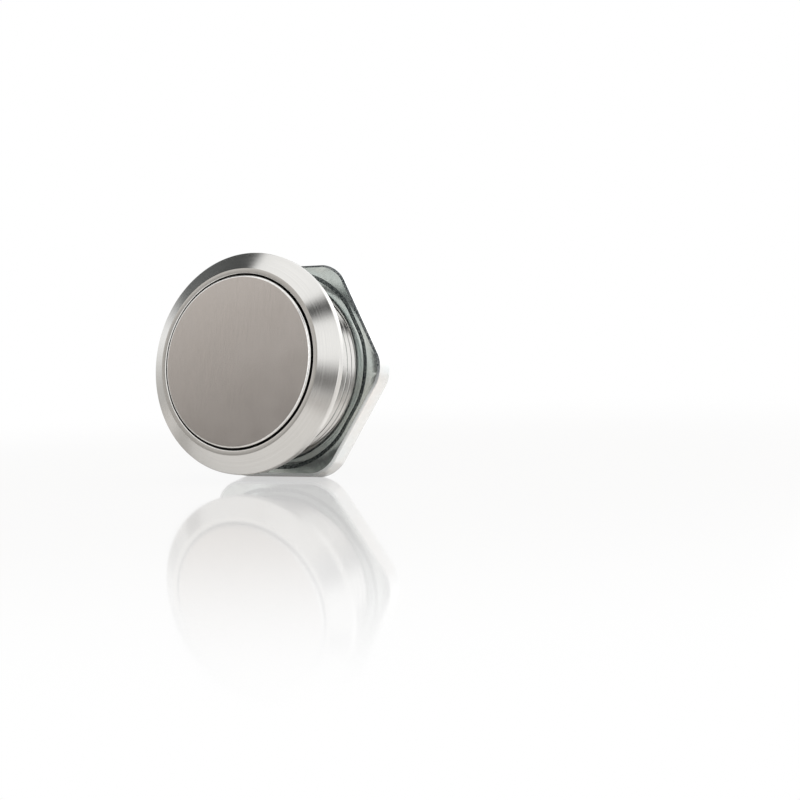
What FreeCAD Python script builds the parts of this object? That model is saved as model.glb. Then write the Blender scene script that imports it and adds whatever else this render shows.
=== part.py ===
import FreeCAD, Part
import os
import re
import sys

import Sketcher

# Stainless pushbutton for a panel hole. The button and the barrel share the Y axis.
# The front of the switch faces -Y, the solder lugs point to +Y and +Z is up.
# The origin is the centre of the bezel's seat on the panel. Lengths are in millimetres.

# Driving dimensions, each with what it measures
SIZES = {
    "barrel_radius": (11.0, "outer radius of the thread on the barrel"),
    "barrel_wall": (1.7, "wall of the barrel, thread included"),
    "barrel_lip": (0.4, "barrel behind the retaining ring"),
    "barrel_chamfer": (0.5, "chamfer at the barrel's rear end"),
    "flange_lip": (3.0, "how far the bezel reaches past the barrel"),
    "flange_thickness": (2.5, "bezel from the panel seat to the flat ring"),
    "rim_thickness": (0.86, "straight rim of the bezel"),
    "well_over": (0.1, "how much wider the button's well is than the barrel"),
    "ring_width": (0.65, "flat ring round the button"),
    "ring_chamfer": (0.08, "chamfer on the ring's inner edge"),
    "rim_corner": (0.2, "rounded corner between the bezel's cone and rim"),
    "cap_gap": (0.24, "gap round the button"),
    "cap_proud": (0.3, "how far the button stands out of the ring at rest"),
    "cap_thickness": (1.15, "thickness of the button's disc"),
    "cap_edge": (0.45, "rounded edge of the button"),
    "travel": (1.0, "how far the button goes in"),
    "stop_gap": (0.1, "room left under the button's disc when pressed"),
    "skirt_play": (0.1, "running gap round the button's skirt"),
    "skirt_wall": (1.9, "wall of the skirt"),
    "skirt_length": (3.45, "skirt behind the disc"),
    "skirt_room": (0.2, "room left behind the skirt when pressed"),
    "seal_offset": (1.5, "from the disc to the skirt's seal groove"),
    "seal_groove": (0.9, "depth of the skirt's seal groove"),
    "seal_width": (1.0, "width of the skirt's sealing ring"),
    "seal_gap": (0.04, "gap left on each side of a sealing ring"),
    "panel_seal_width": (1.0, "width of the gasket round the barrel"),
    "panel_seal_thickness": (0.5, "thickness of the gasket on the bezel's seat"),
    "web_thickness": (1.0, "inner wall that the stem passes through"),
    "stem_radius": (3.0, "radius of the button's stem"),
    "stem_play": (0.1, "running gap round the stem"),
    "stem_tail": (0.35, "stem behind the clip"),
    "clip_thickness": (0.6, "thickness of the stem clip"),
    "clip_width": (1.2, "how far the clip reaches past the stem"),
    "clip_groove": (0.7, "depth of the clip's groove"),
    "clip_play": (0.05, "clearance of the clip in its groove and to the wall"),
    "clip_room": (0.4, "room round the clip in the housing"),
    "clip_margin": (0.15, "room behind the clip when pressed"),
    "clip_opening": (60.0, "opening of the stem clip in degrees"),
    "return_wire": (0.3, "wire radius of the return spring"),
    "return_turns": (3.5, "turns of the return spring"),
    "spring_end_gap": (0.03, "gap at each end of a spring"),
    "peg_radius": (1.2, "peg of the insulating tip"),
    "peg_length": (1.8, "length of the peg"),
    "peg_play": (0.03, "clearance round the peg"),
    "tip_radius": (2.4, "head of the insulating tip"),
    "nose_radius": (0.8, "nose that guides the bridge"),
    "nose_length": (1.2, "length of the nose behind the bridge's front"),
    "nose_play": (0.12, "clearance round the nose"),
    "housing_play": (0.1, "gap between the housing and the barrel"),
    "housing_wall": (0.8, "wall of the contact housing"),
    "strip_thickness": (0.5, "thickness of the terminal strips"),
    "strip_width": (2.8, "width of the terminal strips"),
    "strip_bend": (0.3, "inner radius of a bend in a strip"),
    "bridge_room": (1.9, "room past the bridge's ends"),
    "bridge_width": (2.5, "width of the bridge"),
    "bridge_thickness": (0.5, "thickness of the bridge"),
    "bridge_corner": (0.9, "rounded corner of the bridge"),
    "bridge_clearance": (0.85, "gap between the bridge and the strips beside it"),
    "rivet_inset": (1.5, "from the end of the bridge to its rivet"),
    "rivet_radius": (1.0, "head of a contact rivet"),
    "rivet_height": (0.55, "height of a rivet's head"),
    "rivet_edge": (0.15, "chamfer on a rivet's head"),
    "shank_radius": (0.5, "shank of a contact rivet"),
    "shank_play": (0.03, "clearance round a shank"),
    "contact_play": (0.02, "gap left at the open contacts when pressed"),
    "contact_wire": (0.2, "wire radius of the contact spring"),
    "contact_coil": (1.5, "mean radius of the contact spring"),
    "contact_turns": (4.5, "turns of the contact spring"),
    "pocket_radius": (2.0, "spring pocket in the base"),
    "pocket_depth": (0.8, "depth of the spring pocket"),
    "base_thickness": (1.5, "thickness of the contact base"),
    "slot_play": (0.04, "clearance round a strip in its slot"),
    "lug_length": (5.5, "solder lug behind the base"),
    "lug_corner": (1.3, "rounded corner of a solder lug"),
    "lug_hole": (0.6, "radius of the wire hole in a lug"),
    "lug_hole_inset": (1.7, "from a lug's end to its wire hole"),
    "snap_thickness": (0.6, "thickness of the retaining ring"),
    "snap_width": (1.5, "radial width of the retaining ring"),
    "snap_depth": (0.6, "depth of the retaining ring's groove"),
    "snap_play": (0.04, "clearance of the retaining ring in its groove"),
    "snap_opening": (40.0, "opening of the retaining ring in degrees"),
    "panel_room": (6.85, "from the panel seat to the nut"),
    "nut_wall": (2.5, "nut past the barrel at its flats"),
    "nut_thickness": (2.75, "thickness of the nut"),
    "nut_corner": (4.0, "rounded corner of the nut"),
    "nut_edge": (0.4, "rounded front and back edges of the nut"),
    "nut_play": (0.05, "running gap between the nut and the barrel"),
    "nut_countersink": (0.9, "countersink of the nut's bore on the panel side"),
    "nut_back_sink": (0.45, "smaller countersink of the nut's bore at the rear"),
}

# Flats that stand for the round section of a spring's wire
WIRE_FLATS = 8

# Places worked out from the driving dimensions, along Y or as radii from the axis
PLACES = {
    "flange_radius": "barrel_radius + flange_lip",
    "ring_plane": "-flange_thickness",
    "well_radius": "barrel_radius + well_over",
    "ring_radius": "well_radius + ring_width",
    "bore_radius": "barrel_radius - barrel_wall",
    "cap_radius": "well_radius - cap_gap",
    "cap_front": "ring_plane - cap_proud",
    "disc_rear": "cap_front + cap_thickness",
    "well_floor": "disc_rear + travel + stop_gap",
    "skirt_radius": "bore_radius - skirt_play",
    "skirt_inner": "skirt_radius - skirt_wall",
    "skirt_end": "disc_rear + skirt_length",
    "web_front": "skirt_end + travel + skirt_room",
    "web_rear": "web_front + web_thickness",
    "seal_floor": "skirt_radius - seal_groove",
    "seal_front": "disc_rear + seal_offset",
    "seal_rear": "seal_front + seal_width + 2 * seal_gap",
    "panel_seal_inner": "barrel_radius + seal_gap",
    "clip_front": "web_rear + clip_play",
    "clip_rear": "clip_front + clip_thickness",
    "clip_floor": "stem_radius - clip_groove",
    "stem_end": "clip_rear + stem_tail",
    "return_place": "(stem_radius + skirt_inner) / 2",
    "wall_rear": "clip_rear + travel + clip_margin",
    "housing_radius": "bore_radius - housing_play",
    "housing_inner": "housing_radius - housing_wall",
    "bridge_half": "housing_inner - bridge_room",
    "contact_place": "bridge_half - rivet_inset",
    "nc_pad_rear": "wall_rear + strip_thickness",
    "bridge_front": "nc_pad_rear + 2 * rivet_height",
    "bridge_rear": "bridge_front + bridge_thickness",
    "no_head_front": "bridge_rear + rivet_height + travel + contact_play",
    "no_pad_front": "no_head_front + rivet_height",
    "base_front": "no_pad_front + strip_thickness",
    "base_rear": "base_front + base_thickness",
    "pocket_floor": "base_front + pocket_depth",
    "nc_leg_inner": "bridge_width / 2 + bridge_clearance",
    "no_leg_inner": "bridge_width / 2",
    "lug_end": "base_rear + lug_length",
    "snap_rear": "base_rear + snap_thickness",
    "snap_radius": "bore_radius + snap_depth",
    "barrel_end": "snap_rear + snap_play + barrel_lip",
    "nut_bore": "barrel_radius + nut_play",
    "nut_flat": "barrel_radius + nut_wall",
    "nut_point": "2 * nut_flat / sqrt(3)",
    "nut_rear": "panel_room + nut_thickness",
}

doc = FreeCAD.newDocument("pushbutton_switch")
sheet = doc.addObject("Spreadsheet::Sheet", "sizes")
for row, (alias, (size, meaning)) in enumerate(SIZES.items(), start=1):
    sheet.set(f"A{row}", meaning)
    sheet.set(f"B{row}", str(size))
    sheet.setAlias(f"B{row}", alias)
doc.recompute()


def bind(text):
    """Turn names of sizes and places in an expression into cells of the sheet."""

    def swap(match):
        word = match.group(0)
        if word in PLACES:
            return "(" + bind(PLACES[word]) + ")"
        if word in SIZES:
            return "sizes." + word
        return word

    return re.sub(r"[a-z_]+", swap, text)


def plain(text):
    """Present value of an expression, in millimetres or as a bare number."""
    value = sheet.evalExpression(bind(text))
    return float(getattr(value, "Value", value))


def new_body(name):
    body = doc.addObject("PartDesign::Body", name)
    body.Label = name
    return body


def origin_plane(body, role):
    for item in body.Origin.OriginFeatures:
        if item.Role == role:
            return item
    raise ValueError(role)


def place_point(sketch, line, end, x, y):
    """Tie one end of a sketch line to the origin at the place given by two expressions."""
    for kind, axis, text in (("DistanceX", -2, x), ("DistanceY", -1, y)):
        size = plain(text)
        if abs(size) < 1e-9 and text == "0":
            sketch.addConstraint(Sketcher.Constraint("PointOnObject", line, end, axis))
        else:
            number = sketch.addConstraint(Sketcher.Constraint(kind, -1, 1, line, end, size))
            sketch.setExpression(f"Constraints[{number}]", bind(text))


def new_sketch(body, name, role, lift="0"):
    sketch = body.newObject("Sketcher::SketchObject", name)
    sketch.AttachmentSupport = [(origin_plane(body, role), "")]
    sketch.MapMode = "FlatFace"
    if lift != "0":
        sketch.setExpression("AttachmentOffset.Base.z", bind(lift))
    return sketch


def add_outline(sketch, corners):
    """Closed outline of straight lines through corners given as pairs of expressions."""
    points = [FreeCAD.Vector(plain(x), plain(y), 0) for x, y in corners]
    first = sketch.GeometryCount
    count = len(points)
    for place in range(count):
        line = Part.LineSegment(points[place], points[(place + 1) % count])
        sketch.addGeometry(line)
    for place in range(count):
        after = (place + 1) % count
        joint = Sketcher.Constraint("Coincident", first + place, 2, first + after, 1)
        sketch.addConstraint(joint)
    for place, (x, y) in enumerate(corners):
        place_point(sketch, first + place, 1, x, y)


def add_circle(sketch, x, y, radius):
    """Circle at a place given by two expressions."""
    centre = FreeCAD.Vector(plain(x), plain(y), 0)
    circle = Part.Circle(centre, FreeCAD.Vector(0, 0, 1), plain(radius))
    number = sketch.addGeometry(circle)
    place_point(sketch, number, 3, x, y)
    size = sketch.addConstraint(Sketcher.Constraint("Radius", number, plain(radius)))
    sketch.setExpression(f"Constraints[{size}]", bind(radius))


def turn(body, sketch, kind="PartDesign::Revolution", opening=None):
    """Turn a sketch of the XY plane about the Y axis, with an opening in degrees if given."""
    feature = body.newObject(kind, body.Name + "_turned_" + sketch.Name)
    feature.Profile = sketch
    feature.ReferenceAxis = (sketch, ["V_Axis"])
    feature.Angle = 360
    if opening:
        feature.Midplane = True
        feature.setExpression("Angle", bind(f"360 - {opening}"))
    sketch.Visibility = False
    return feature


def turned_body(name, corners, opening=None):
    """Piece turned about the Y axis from corners given as (radius, place along Y)."""
    body = new_body(name)
    sketch = new_sketch(body, name + "_profile", "XY_Plane")
    add_outline(sketch, corners)
    turn(body, sketch, opening=opening)
    return body


def pad(body, sketch, length, both_ways=False, backwards=False):
    feature = body.newObject("PartDesign::Pad", sketch.Name + "_pad")
    feature.Profile = sketch
    feature.setExpression("Length", bind(length))
    feature.Midplane = both_ways
    feature.Reversed = backwards
    return feature


def pocket_through(body, sketch):
    """Cut a sketch through the whole piece, both ways from its plane."""
    before = body.Shape.Volume
    feature = body.newObject("PartDesign::Pocket", sketch.Name + "_pocket")
    feature.Profile = sketch
    feature.Type = 1
    feature.Midplane = True
    doc.recompute()
    if not body.Shape.Volume < before:
        raise RuntimeError(f"{sketch.Name} cuts nothing")
    return feature


def round_edges(body, chosen, radius):
    """Round the edges of a body's present shape that a test picks."""
    doc.recompute()
    base = body.Tip
    names = [f"Edge{n}" for n, edge in enumerate(base.Shape.Edges, start=1) if chosen(edge)]
    if not names:
        raise RuntimeError(f"{body.Name} has no edge to round")
    feature = body.newObject("PartDesign::Fillet", f"{body.Name}_round_{len(body.Group)}")
    feature.Base = (base, names)
    feature.setExpression("Radius", bind(radius))
    return feature


def middle(edge):
    """Point halfway along an edge."""
    return edge.valueAt((edge.FirstParameter + edge.LastParameter) / 2)


def is_straight_along(edge, axis):
    """True for a straight edge in the direction of one axis."""
    if edge.Curve.TypeId != "Part::GeomLine":
        return False
    ends = [vertex.Point for vertex in edge.Vertexes]
    return abs(abs((ends[1] - ends[0]).normalize().dot(axis)) - 1) < 1e-6


def ring_edge(radius, place):
    """Test for the circular edge round the Y axis at a radius and place."""

    def matches(edge):
        points = [vertex.Point for vertex in edge.Vertexes]
        return all(
            abs(point.y - plain(place)) < 1e-6
            and abs((point.x ** 2 + point.z ** 2) ** 0.5 - plain(radius)) < 1e-6
            for point in points
        )

    return matches


def coil_body(name, radius, wire, front, rear, turns):
    """Coil spring round the Y axis between two seats, its wire drawn with eight flats."""
    body = new_body(name)
    sketch = new_sketch(body, name + "_wire", "XY_Plane")
    start = f"{front} + {wire} + spring_end_gap"
    angles = [(place + 0.5) * 360 / WIRE_FLATS for place in range(WIRE_FLATS)]
    add_outline(
        sketch,
        [(f"{radius} + {wire} * cos({a})", f"{start} + {wire} * sin({a})") for a in angles],
    )
    coil = body.newObject("PartDesign::AdditiveHelix", name + "_coil")
    coil.Profile = sketch
    coil.ReferenceAxis = (sketch, ["V_Axis"])
    coil.Mode = 0
    height = f"({rear}) - ({front}) - 2 * {wire} - 2 * spring_end_gap"
    coil.setExpression("Pitch", bind(f"({height}) / {turns}"))
    coil.setExpression("Height", bind(height))
    return body


def ring_body(name, inner, outer, front, rear):
    """Square-cut rubber ring about the Y axis."""
    return turned_body(name, [(inner, front), (outer, front), (outer, rear), (inner, rear)])


def make_body_shell():
    """Bezel and barrel, turned from one bar, with the inner wall for the stem."""
    hole = "stem_radius + stem_play"
    body = turned_body(
        "body_shell",
        [
            ("well_radius", "ring_plane + ring_chamfer"),
            ("well_radius + ring_chamfer", "ring_plane"),
            ("ring_radius", "ring_plane"),
            ("flange_radius", "-rim_thickness"),
            ("flange_radius", "0"),
            ("barrel_radius", "0"),
            ("barrel_radius", "barrel_end - barrel_chamfer"),
            ("barrel_radius - barrel_chamfer", "barrel_end"),
            ("bore_radius", "barrel_end"),
            ("bore_radius", "snap_rear + snap_play"),
            ("snap_radius", "snap_rear + snap_play"),
            ("snap_radius", "base_rear"),
            ("bore_radius", "base_rear"),
            ("bore_radius", "web_rear"),
            (hole, "web_rear"),
            (hole, "web_front"),
            ("bore_radius", "web_front"),
            ("bore_radius", "well_floor"),
            ("well_radius", "well_floor"),
        ],
    )
    round_edges(body, ring_edge("flange_radius", "-rim_thickness"), "rim_corner")
    return body


def make_button_cap():
    """Button disc, guide skirt and stem in one piece."""
    body = turned_body(
        "button_cap",
        [
            ("0", "cap_front"),
            ("cap_radius", "cap_front"),
            ("cap_radius", "disc_rear"),
            ("skirt_radius", "disc_rear"),
            ("skirt_radius", "seal_front"),
            ("seal_floor", "seal_front"),
            ("seal_floor", "seal_rear"),
            ("skirt_radius", "seal_rear"),
            ("skirt_radius", "skirt_end"),
            ("skirt_inner", "skirt_end"),
            ("skirt_inner", "disc_rear"),
            ("stem_radius", "disc_rear"),
            ("stem_radius", "clip_front"),
            ("clip_floor", "clip_front"),
            ("clip_floor", "clip_rear"),
            ("stem_radius", "clip_rear"),
            ("stem_radius", "stem_end"),
            ("peg_radius + peg_play", "stem_end"),
            ("peg_radius + peg_play", "stem_end - peg_length - peg_play"),
            ("0", "stem_end - peg_length - peg_play"),
        ],
    )
    round_edges(body, ring_edge("cap_radius", "cap_front"), "cap_edge")
    return body


def make_stem_clip():
    """Open spring clip in the stem's groove, held by the inner wall."""
    inner = "clip_floor + clip_play"
    outer = "stem_radius + clip_width"
    return turned_body(
        "stem_clip",
        [(inner, "clip_front"), (outer, "clip_front"), (outer, "clip_rear"), (inner, "clip_rear")],
        opening="clip_opening",
    )


def make_plunger_tip():
    """Insulating tip: peg in the stem, head against the bridge, nose through the bridge."""
    return turned_body(
        "plunger_tip",
        [
            ("0", "stem_end - peg_length"),
            ("peg_radius", "stem_end - peg_length"),
            ("peg_radius", "stem_end"),
            ("tip_radius", "stem_end"),
            ("tip_radius", "bridge_front"),
            ("nose_radius", "bridge_front"),
            ("nose_radius", "bridge_front + nose_length"),
            ("0", "bridge_front + nose_length"),
        ],
    )


def make_hex_nut():
    """Lock nut: a hexagonal plate with rounded corners and edges and a countersunk bore."""
    body = new_body("hex_nut")
    plate = new_sketch(body, "nut_plate", "XZ_Plane", lift="-panel_room")
    half = "nut_point / 2"
    add_outline(
        plate,
        [
            ("nut_point", "0"),
            (half, "nut_flat"),
            ("-" + half, "nut_flat"),
            ("-nut_point", "0"),
            ("-" + half, "-nut_flat"),
            (half, "-nut_flat"),
        ],
    )
    pad(body, plate, "nut_thickness", backwards=True)
    along = FreeCAD.Vector(0, 1, 0)
    round_edges(body, lambda edge: is_straight_along(edge, along), "nut_corner")
    faces = (plain("panel_room"), plain("nut_rear"))

    def outer_edge(edge):
        return min(abs(middle(edge).y - face) for face in faces) < 1e-6

    round_edges(body, outer_edge, "nut_edge")
    doc.recompute()
    before = body.Shape.Volume
    bore = new_sketch(body, "nut_bore_profile", "XY_Plane")
    beyond = "nut_edge"
    add_outline(
        bore,
        [
            ("0", f"panel_room - {beyond}"),
            (f"nut_bore + nut_countersink + {beyond}", f"panel_room - {beyond}"),
            ("nut_bore", "panel_room + nut_countersink"),
            ("nut_bore", "nut_rear - nut_back_sink"),
            (f"nut_bore + nut_back_sink + {beyond}", f"nut_rear + {beyond}"),
            ("0", f"nut_rear + {beyond}"),
        ],
    )
    turn(body, bore, kind="PartDesign::Groove")
    doc.recompute()
    if not body.Shape.Volume < before:
        raise RuntimeError("the nut's bore cuts nothing")
    return body


def make_contact_housing():
    """Moulded cup round the contacts, with room for the clip in its front wall."""
    opening = "stem_radius + clip_width + clip_room"
    return turned_body(
        "contact_housing",
        [
            (opening, "web_rear"),
            ("housing_radius", "web_rear"),
            ("housing_radius", "base_front"),
            ("housing_inner", "base_front"),
            ("housing_inner", "wall_rear"),
            (opening, "wall_rear"),
        ],
    )


# Terminals: name, side of the axis, front of the contact pad, far edge of the pad and the
# leg's inner face, the last two measured along Z
TERMINALS = {
    "terminal_nc_left": (-1, "wall_rear", "no_leg_inner", "-nc_leg_inner"),
    "terminal_nc_right": (1, "wall_rear", "no_leg_inner", "-nc_leg_inner"),
    "terminal_no_left": (-1, "no_pad_front", "-no_leg_inner", "no_leg_inner"),
    "terminal_no_right": (1, "no_pad_front", "-no_leg_inner", "no_leg_inner"),
}


def signed(side, text):
    return text if side > 0 else f"-({text})"


def leg_outer(leg):
    """Outer face of a leg, one strip further from the axis than its inner face."""
    return f"{leg} - strip_thickness" if leg.startswith("-") else f"{leg} + strip_thickness"


def make_contact_base():
    """Moulded disc with a spring pocket and a slot for each terminal."""
    body = turned_body(
        "contact_base",
        [
            ("0", "pocket_floor"),
            ("pocket_radius", "pocket_floor"),
            ("pocket_radius", "base_front"),
            ("housing_radius", "base_front"),
            ("housing_radius", "base_rear"),
            ("0", "base_rear"),
        ],
    )
    doc.recompute()
    slots = new_sketch(body, "base_slots", "XZ_Plane")
    reach = "strip_width / 2 + slot_play"
    for side, front, _, leg in TERMINALS.values():
        centre = signed(side, "contact_place")
        grow = -1 if leg.startswith("-") else 1
        bend_room = "strip_bend + slot_play" if front == "no_pad_front" else "slot_play"
        inner = f"{leg} - ({grow}) * ({bend_room})"
        outer = f"{leg_outer(leg)} + ({grow}) * slot_play"
        add_outline(
            slots,
            [
                (f"{centre} - ({reach})", inner),
                (f"{centre} + {reach}", inner),
                (f"{centre} + {reach}", outer),
                (f"{centre} - ({reach})", outer),
            ],
        )
    pocket_through(body, slots)
    return body


def make_terminal(name):
    """Strip bent once: a pad across the axis and a leg back through the base to its lug."""
    side, front, far_edge, leg = TERMINALS[name]
    outer = leg_outer(leg)
    body = new_body(name)
    strip = new_sketch(body, name + "_strip", "YZ_Plane", lift=signed(side, "contact_place"))
    add_outline(
        strip,
        [
            (front, far_edge),
            (front, outer),
            ("lug_end", outer),
            ("lug_end", leg),
            (f"{front} + strip_thickness", leg),
            (f"{front} + strip_thickness", far_edge),
        ],
    )
    pad(body, strip, "strip_width", both_ways=True)
    across = FreeCAD.Vector(1, 0, 0)
    bends = (
        (plain(front), plain(outer), "strip_bend + strip_thickness"),
        (plain(f"{front} + strip_thickness"), plain(leg), "strip_bend"),
    )
    for bend_y, bend_z, radius in bends:

        def at_bend(edge, bend_y=bend_y, bend_z=bend_z):
            point = middle(edge)
            here = abs(point.y - bend_y) < 1e-6 and abs(point.z - bend_z) < 1e-6
            return here and is_straight_along(edge, across)

        round_edges(body, at_bend, radius)
    up = FreeCAD.Vector(0, 0, 1)
    end = plain("lug_end")

    def lug_corner(edge):
        return abs(middle(edge).y - end) < 1e-6 and is_straight_along(edge, up)

    round_edges(body, lug_corner, "lug_corner")
    centre = signed(side, "contact_place")
    hole = new_sketch(body, name + "_wire_hole", "XY_Plane")
    add_circle(hole, centre, "lug_end - lug_hole_inset", "lug_hole")
    pocket_through(body, hole)
    seat = new_sketch(body, name + "_rivet_hole", "XZ_Plane")
    add_circle(seat, centre, "0", "shank_radius + shank_play")
    pocket_through(body, seat)
    return body


def make_contact_bridge():
    """Flat bar with a rivet hole at each end and the nose's hole in the middle."""
    body = new_body("contact_bridge")
    bar = new_sketch(body, "bridge_bar", "XZ_Plane", lift="-bridge_front")
    half = "bridge_width / 2"
    add_outline(
        bar,
        [
            ("-bridge_half", "-" + half),
            ("bridge_half", "-" + half),
            ("bridge_half", half),
            ("-bridge_half", half),
        ],
    )
    for side in (-1, 1):
        add_circle(bar, signed(side, "contact_place"), "0", "shank_radius + shank_play")
    add_circle(bar, "0", "0", "nose_radius + nose_play")
    pad(body, bar, "bridge_thickness", backwards=True)
    along = FreeCAD.Vector(0, 1, 0)
    side = plain(half)

    def outer_corner(edge):
        return is_straight_along(edge, along) and abs(abs(middle(edge).z) - side) < 1e-6

    round_edges(body, outer_corner, "bridge_corner")
    return body


def make_rivet(name, side, places):
    """Contact rivet about an axis through the contact place, from (radius, place) corners."""
    body = turned_body(name, places)
    body.setExpression("Placement.Base.x", bind(signed(side, "contact_place")))
    return body


def moving_rivet():
    """Outline of a rivet with a head on both sides of the bridge."""
    return [
        ("0", "bridge_front - rivet_height"),
        ("rivet_radius - rivet_edge", "bridge_front - rivet_height"),
        ("rivet_radius", "bridge_front - rivet_height + rivet_edge"),
        ("rivet_radius", "bridge_front"),
        ("shank_radius", "bridge_front"),
        ("shank_radius", "bridge_rear"),
        ("rivet_radius", "bridge_rear"),
        ("rivet_radius", "bridge_rear + rivet_height - rivet_edge"),
        ("rivet_radius - rivet_edge", "bridge_rear + rivet_height"),
        ("0", "bridge_rear + rivet_height"),
    ]


def fixed_rivet(seat, head, shank):
    """Outline of a rivet: seat of the head, and which way the head and the shank go."""
    return [
        ("0", f"{seat} {head} rivet_height"),
        ("rivet_radius - rivet_edge", f"{seat} {head} rivet_height"),
        ("rivet_radius", f"{seat} {head} (rivet_height - rivet_edge)"),
        ("rivet_radius", seat),
        ("shank_radius", seat),
        ("shank_radius", f"{seat} {shank} strip_thickness"),
        ("0", f"{seat} {shank} strip_thickness"),
    ]


def make_retaining_ring():
    """Open snap ring in the groove at the barrel's rear end."""
    outer = "snap_radius - snap_play"
    inner = "snap_radius - snap_play - snap_width"
    return turned_body(
        "retaining_ring",
        [(inner, "base_rear"), (outer, "base_rear"), (outer, "snap_rear"), (inner, "snap_rear")],
        opening="snap_opening",
    )


pieces = [
    make_body_shell(),
    make_button_cap(),
    ring_body(
        "cap_seal",
        "seal_floor + seal_gap",
        "bore_radius - seal_gap",
        "seal_front + seal_gap",
        "seal_rear - seal_gap",
    ),
    coil_body("return_spring", "return_place", "return_wire", "disc_rear", "web_front",
              "return_turns"),
    make_stem_clip(),
    make_plunger_tip(),
    make_hex_nut(),
    ring_body(
        "panel_seal",
        "panel_seal_inner",
        "panel_seal_inner + panel_seal_width",
        "0",
        "panel_seal_thickness",
    ),
    make_contact_housing(),
    make_contact_base(),
    make_contact_bridge(),
    make_retaining_ring(),
    coil_body("contact_spring", "contact_coil", "contact_wire", "bridge_rear", "pocket_floor",
              "contact_turns"),
]
for terminal in TERMINALS:
    pieces.append(make_terminal(terminal))
for side, word in ((-1, "left"), (1, "right")):
    pieces.append(make_rivet(f"moving_contact_{word}", side, moving_rivet()))
    closed = fixed_rivet("nc_pad_rear", "+", "-")
    pieces.append(make_rivet(f"fixed_contact_nc_{word}", side, closed))
    opened = fixed_rivet("no_pad_front", "-", "+")
    pieces.append(make_rivet(f"fixed_contact_no_{word}", side, opened))

doc.recompute()

problems = []
for item in doc.Objects:
    if "Invalid" in item.State or "Error" in item.State:
        problems.append(f"{item.Name} is {item.State}")
for piece in pieces:
    if piece.Shape.isNull() or not piece.Shape.isValid():
        problems.append(f"{piece.Name} has no valid shape")
    elif len(piece.Shape.Solids) != 1:
        problems.append(f"{piece.Name} has {len(piece.Shape.Solids)} solids")
if problems:
    print("\n".join(problems))
    sys.exit(1)

os.makedirs("parts", exist_ok=True)
for piece in pieces:
    piece.Shape.exportStep(os.path.join("parts", piece.Label + ".step"))
    box = piece.Shape.BoundBox
    print(
        f"{piece.Label}: {piece.Shape.Volume:.2f} mm3,"
        f" x {box.XMin:.2f} {box.XMax:.2f}, y {box.YMin:.2f} {box.YMax:.2f},"
        f" z {box.ZMin:.2f} {box.ZMax:.2f}"
    )
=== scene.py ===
from math import atan2, ceil, cos, degrees, hypot, inf, pi, radians, sin, tan

import bmesh
import bpy
from mathutils import Matrix, Vector


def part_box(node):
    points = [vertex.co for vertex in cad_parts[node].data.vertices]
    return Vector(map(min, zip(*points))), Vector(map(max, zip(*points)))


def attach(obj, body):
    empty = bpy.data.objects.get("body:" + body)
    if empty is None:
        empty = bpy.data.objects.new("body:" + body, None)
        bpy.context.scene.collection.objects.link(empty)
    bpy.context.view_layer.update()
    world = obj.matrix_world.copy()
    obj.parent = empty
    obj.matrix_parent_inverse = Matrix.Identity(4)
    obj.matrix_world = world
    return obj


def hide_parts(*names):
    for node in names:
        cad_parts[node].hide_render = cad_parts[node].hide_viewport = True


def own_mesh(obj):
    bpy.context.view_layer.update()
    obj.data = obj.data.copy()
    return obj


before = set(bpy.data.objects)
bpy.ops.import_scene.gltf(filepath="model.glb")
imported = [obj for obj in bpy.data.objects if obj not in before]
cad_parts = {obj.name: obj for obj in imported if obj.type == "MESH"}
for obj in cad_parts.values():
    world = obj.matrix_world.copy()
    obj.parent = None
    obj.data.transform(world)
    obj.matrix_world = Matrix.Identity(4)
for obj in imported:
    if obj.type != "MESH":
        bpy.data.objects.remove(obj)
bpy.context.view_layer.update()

bl_info = {
    "name": "Panel pushbutton switch",
    "version": (1, 0, 0),
    "blender": (4, 5, 0),
    "location": "View3D > Sidebar > Pushbutton",
    "description": "Dresses the pushbutton switch in its real shapes and finishes",
    "category": "Object",
}

# The button and the barrel share the Y axis, the front faces -Y, and lengths are in metres.
SHELL_LOW, SHELL_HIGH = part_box("body_shell")
CAP_LOW, CAP_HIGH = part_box("button_cap")
NUT_LOW, NUT_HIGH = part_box("hex_nut")
SNAP_LOW, SNAP_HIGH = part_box("retaining_ring")
CLIP_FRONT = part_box("stem_clip")[0].y
CUP_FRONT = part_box("contact_housing")[0].y
BASE_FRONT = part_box("contact_base")[0].y
BRIDGE_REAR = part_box("contact_bridge")[1].y
# Two places closer than this count as one
NEAR = 1e-5


def number(name, description, default, **more):
    return bpy.props.FloatProperty(name=name, description=description, default=default, **more)


def length(*about):
    return number(*about, unit="LENGTH", precision=5)


def share(*about):
    return number(*about, min=0, max=1, subtype="FACTOR")


def angle(name, description, default):
    return number(name, description, radians(default), subtype="ANGLE")


def colour(name, description, default):
    return bpy.props.FloatVectorProperty(
        name=name, description=description, default=default, subtype="COLOR", min=0, max=1
    )


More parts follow.
